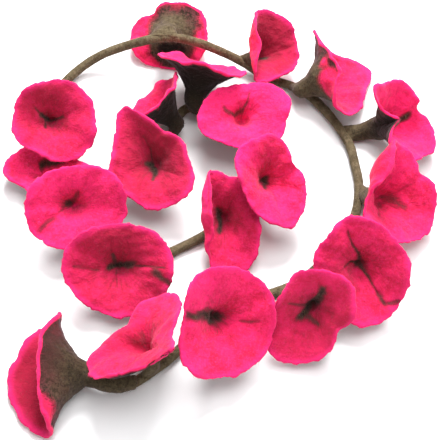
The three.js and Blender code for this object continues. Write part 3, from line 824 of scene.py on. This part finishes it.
def crease_share(x, y, ends, width):
    """1 on the line between a crease's ends, falling off softly to its sides and beyond them."""
    x0, y0, x1, y1 = ends
    line = np.array([x1 - x0, y1 - y0], float)
    length = max(np.hypot(*line), LEAST_LENGTH)
    along = ((x - x0) * line[0] + (y - y0) * line[1]) / length
    nearest = np.clip(along, 0, length)
    off = np.hypot(x - x0 - nearest * line[0] / length, y - y0 - nearest * line[1] / length)
    return np.exp(-((off / width) ** 2))


def sheet_point(flower, way, angle):
    """A point of the middle of the felt, so much of the way from the throat to the rim."""
    outward = np.maximum(way, 0)
    edge = np.clip((way - RAG_START) / RAG_REACH, 0, 1) ** 2
    ragged = sum(share * chance_waves(angle, flower, counts, seed) for counts, share, seed in RAG_WAVES)
    radius = cup_radius(flower, rim_radius(flower, angle) * (1 + edge * ragged), outward)
    waves = set_waves(angle, flower, RIM_WAVES)
    height = -flower["depth"] * (1 - way) ** flower["flare"] + flower["dish"] * outward**DISH_POWER
    height = height + flower["ruffle"] * waves * outward**RUFFLE_POWER
    counts, most, seed = RIM_LUMPS
    height = height + most * chance_waves(angle, flower, counts, seed) * outward**RIM_LUMP_POWER
    x, y = radius * np.cos(angle), radius * np.sin(angle)
    for *ends, width, _, depth in CREASES.get(flower["number"], ()):
        height = height - depth * crease_share(x, y, ends, width)
    return curled(flower, x, y, height)


def flower_axes(flower):
    """The mouth's directions across, up and out, and its middle."""
    heading, tilt = math.radians(flower["heading"]), math.radians(flower["tilt"])
    out = np.array([math.cos(heading) * math.cos(tilt), math.sin(heading) * math.cos(tilt), math.sin(tilt)])
    across = np.array([-math.sin(heading), math.cos(heading), 0])
    middle = np.array([flower["x"], flower["y"], flower["z"]], float) - np.array(LAYOUT_CENTRE) / MM
    return across, np.cross(out, across), out, middle


def laid(flower, way, angle):
    """The sheet's point in its place in the garland, kept above the surface."""
    x, y, z = sheet_point(flower, way, angle)
    across, up, out, middle = flower_axes(flower)
    place = middle + x[..., None] * across + y[..., None] * up + z[..., None] * out
    above = place[..., 2] - FELT_THICKNESS / 2
    place[..., 2] = FELT_THICKNESS / 2 + (above + np.hypot(above, FLOOR_SOFTNESS)) / 2
    return place


def felt_ring(flower, angle, station, side):
    """A ring of the felt's outside (-1), inside (1) or in between, half the thickness off its middle."""
    way = np.full(len(angle), station)
    ahead = laid(flower, np.minimum(1, way + SLOPE_STEP), angle) - laid(flower, way - SLOPE_STEP, angle)
    around = laid(flower, way, angle + SLOPE_STEP) - laid(flower, way, angle - SLOPE_STEP)
    normal = np.cross(ahead, around)
    normal /= np.linalg.norm(normal, axis=-1, keepdims=True) + LEAST_NORMAL
    return laid(flower, way, angle) + normal * (side * FELT_THICKNESS / 2)


def soft_lumps(points, seed):
    """Slow swells of the felt, in mm, from waves in chance directions."""
    chance = np.random.default_rng(seed)
    total = np.zeros(points.shape[:-1])
    for length, height in FELT_LUMPS:
        for _ in range(LUMP_DIRECTIONS):
            way = chance.normal(size=3)
            way /= np.linalg.norm(way)
            total += height * np.sin(2 * math.pi * (points @ way) / length + chance.uniform(0, CHANCE_TURN))
    return LUMP_LIMIT * np.tanh(total / LUMP_LIMIT)


def stray(x, y, seed):
    """Waves in chance directions across a mouth, about -1 to 1, for marks that don't run straight."""
    chance = np.random.default_rng(seed)
    total = np.zeros_like(x)
    for length, share in STRAY_WAVES:
        turn, start = chance.uniform(0, CHANCE_TURN, 2)
        total += share * np.sin(2 * math.pi * (x * math.cos(turn) + y * math.sin(turn)) / length + start)
    return total


def neck_rings(flower, angle):
    """The neck's rings from the stem's middle to the foot of the cup, each with its way, side and neck, and
    the point that closes them. The neck is as thick as the stem and spread along it at first."""
    across, _, out, middle = flower_axes(flower)
    throat_height = -flower["depth"] * (1 - THROAT_STATION) ** flower["flare"]
    foot = middle + out * (throat_height - FOOT_HEIGHT)
    further, thicker, aside, more_web, _ = ROOTS.get(flower["number"], PLAIN_ROOT)
    run = min(flower["at"] + further, stem_length - END_ROOM)
    thick = NECK_START + thicker
    root = stem_point(run)
    along_stem = stem_direction(run)
    bend = foot - BEND_SHARE * np.linalg.norm(foot - root) * out - np.array([0, aside, 0])
    start = (bend - root) / np.linalg.norm(bend - root)

    def ring(t, shrink=1, back=0):
        centre = (1 - t) ** 2 * root + 2 * t * (1 - t) * bend + t * t * foot
        way = 2 * (1 - t) * (bend - root) + 2 * t * (foot - bend)
        way /= np.linalg.norm(way)
        side = across - way * (across @ way)
        side /= np.linalg.norm(side)
        top = np.cross(way, side)
        risen = np.linalg.norm(centre - root)
        full = flower["calyx"] + (flower["foot"] - flower["calyx"]) * t
        grown = np.clip(risen / NECK_RISE, 0, 1)
        grown = grown * grown * (3 - 2 * grown)
        radius = thick + (full - thick) * grown
        spread = radius * (np.outer(np.cos(angle), side) + np.outer(np.sin(angle), top))
        along = along_stem - way * (along_stem @ way)
        crossing = np.linalg.norm(along)
        along /= crossing + LEAST_CROSSING
        web = (NECK_WEB + more_web) * crossing**2 * math.exp(-((risen / NECK_WEB_HEIGHT) ** 2))
        spread = spread + (spread @ along)[:, None] * along_stem * web
        return centre + spread * shrink - back * start

    rings = []
    for k in range(SADDLE_RINGS, 0, -1):
        turn = math.pi / 2 * k / (SADDLE_RINGS + 0.5)
        rings.append((ring(0, math.cos(turn), NECK_SINK * math.sin(turn)), 0.0, 0.0, 1.0))
    for k in range(NECK_RINGS):
        t = k / NECK_RINGS
        rings.append((ring(t), 0.0, 0.0, 1 - t))
    return rings, root - start * NECK_SINK


def cup_rings(flower, angle):
    """The rings of the cup's outside, its round edge and its inside, each with its way, side and neck."""
    edge = FELT_THICKNESS / 2 / (SHEET_REACH * (flower["wide"] + flower["tall"]) / 2)
    stations = [(station, -1) for station in np.linspace(THROAT_STATION, 1 - edge, CUP_RINGS)]
    for k in range(1, EDGE_RINGS):
        turn = math.pi * (k / EDGE_RINGS - 0.5)
        stations.append((1 - edge * (1 - math.cos(turn)), math.sin(turn)))
    stations += [(station, 1) for station in np.linspace(1 - edge, CUP_BOTTOM, CUP_RINGS + EXTRA_RINGS)]
    return [(felt_ring(flower, angle, *place), place[0], 0.5 + 0.5 * place[1], 0.0) for place in stations]


def skin_faces(count, sides):
    """Faces that join so many rings of points into one closed skin, with a point at each end."""
    last = 1 + (count - 1) * sides
    faces = []
    for k in range(sides):
        after = (k + 1) % sides
        faces.append((0, 1 + after, 1 + k))
        faces.append((last + sides, last + k, last + after))
    for ring in range(1, last, sides):
        for k in range(sides):
            after = (k + 1) % sides
            faces.append((ring + k, ring + after, ring + sides + after, ring + sides + k))
    return faces


def patches(rows, x, y):
    """How much wool of another colour shows, from rows of a place, a reach and a share."""
    total = np.zeros_like(x)
    for at_x, at_y, reach, share in rows:
        total = total + share * np.exp(-(((x - at_x) ** 2 + (y - at_y) ** 2) / reach**2))
    return total


def stains(flower, x, y, seed):
    """How much olive wool shows along the creases."""
    stray_x, stray_y = stray(x, y, seed), stray(x, y, seed + SEED_STEP)
    total = np.zeros_like(x)
    for *ends, width, stain, _ in CREASES.get(flower["number"], ()):
        far = STAIN_WANDER * width
        shown = stain * crease_share(x + far * stray_x, y + far * stray_y, ends, STAIN_SHARE * width)
        total = np.maximum(total, shown)
    return total


def flower_mesh(flower, seed):
    """A flower's one closed skin, with the marks that its felt reads."""
    angle = 2 * math.pi * np.arange(PETAL_SIDES) / PETAL_SIDES
    rings, bottom = neck_rings(flower, angle)
    rings += cup_rings(flower, angle)
    points, ways, sides, necks = zip(*rings)
    pit = points[-1].mean(axis=0) - flower_axes(flower)[2] * PIT_DEPTH
    skin = np.vstack([bottom[None], *points, pit[None]])
    mesh = bpy.data.meshes.new(flower["name"])
    mesh.from_pydata((skin * MM).tolist(), [], skin_faces(len(rings), PETAL_SIDES))
    mesh.update()

    # lumps push the surface along its own normal
    normals = np.empty(len(skin) * 3)
    mesh.vertices.foreach_get("normal", normals)
    skin = skin + normals.reshape(-1, 3) * soft_lumps(skin, seed)[:, None]
    skin[:, 2] = np.maximum(skin[:, 2], FELT_LOWEST)
    mesh.vertices.foreach_set("co", (skin * MM).ravel())

    way = np.concatenate([[0], np.repeat(ways, PETAL_SIDES), [0]])
    front = np.concatenate([[0], np.repeat(sides, PETAL_SIDES), [1]])
    neck = np.concatenate([[1], np.repeat(necks, PETAL_SIDES), [0]])
    turn = np.concatenate([[0], np.tile(angle, len(rings)), [0]])
    radius = cup_radius(flower, rim_radius(flower, turn), way)
    x, y = radius * np.cos(turn), radius * np.sin(turn)
    marks = {
        "front": front,
        "neck": neck,
        "stain": stains(flower, x, y, seed) * front,
        "shade_and_highlight": patches(SHADE_AND_HIGHLIGHT_SPOTS.get(flower["number"], ()), x, y),
        "outer": patches(OUTSIDE_PINK_AND_SHADE.get(flower["number"], ()), x, y),
    }
    petal = np.stack([np.cos(turn), np.sin(turn), way], axis=1)
    mesh.attributes.new("petal", "FLOAT_VECTOR", "POINT").data.foreach_set("vector", petal.ravel())
    for name, values in marks.items():
        mesh.attributes.new(name, "FLOAT", "POINT").data.foreach_set("value", values)
    mesh.polygons.foreach_set("use_smooth", [True] * len(mesh.polygons))
    mesh.update()
    return mesh


for flower in FLOWERS:
    bare = link(flower["name"], flower_mesh(flower, FLOWER_SEED + flower["number"]))
    fuzz = {"Material": FLOWER_FELT, "Seed": flower["number"]}
    piece = shaped_by(FUZZ, bare, flower["name"] + "_felt", fuzz)
    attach(piece, "root")
    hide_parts(flower["name"])


# Floor and light
FLOOR_SIZE = 12
FLOOR_COLOUR = (0.82, 0.82, 0.83, 1)
FLOOR_ROUGHNESS = 0.9
LIGHT_AIM = (0, 0, 0.02)
STUDIO_STRENGTH = 0.78


def plane(name, size, material):
    mesh = bpy.data.meshes.new(name)
    half = size / 2
    corners = [(-half, -half, 0), (half, -half, 0), (half, half, 0), (-half, half, 0)]
    mesh.from_pydata(corners, [], [(0, 1, 2, 3)])
    return link(name, mesh, material)


def floor_paint():
    material, n = new_material("floor_paint")
    shader = n.add("ShaderNodeBsdfPrincipled", {"Base Color": FLOOR_COLOUR, "Roughness": FLOOR_ROUGHNESS})
    n.wire(shader.outputs[0], n.add("ShaderNodeOutputMaterial").inputs[0])
    return material


plane("floor", FLOOR_SIZE, floor_paint())


def soft_light(name, place, size, power):
    data = bpy.data.lights.new(name, "AREA")
    data.shape = "DISK"
    data.size = size
    data.energy = power
    lamp = bpy.data.objects.new(name, data)
    lamp.location = place
    lamp.rotation_euler = (Vector(LIGHT_AIM) - Vector(place)).to_track_quat("-Z", "Y").to_euler()
    bpy.context.collection.objects.link(lamp)


soft_light("back_light", place=(0.1, 1.15, 1.5), size=0.8, power=66)
soft_light("top_light", place=(0.3, 0.1, 1.9), size=1.2, power=22)
world = bpy.data.worlds.new("studio")
world.use_nodes = True
studio = world.node_tree.nodes["Background"]
studio.inputs["Color"].default_value = (1, 1, 1, 1)
studio.inputs["Strength"].default_value = STUDIO_STRENGTH
bpy.context.scene.world = world
bpy.context.scene.view_settings.view_transform = "Standard"
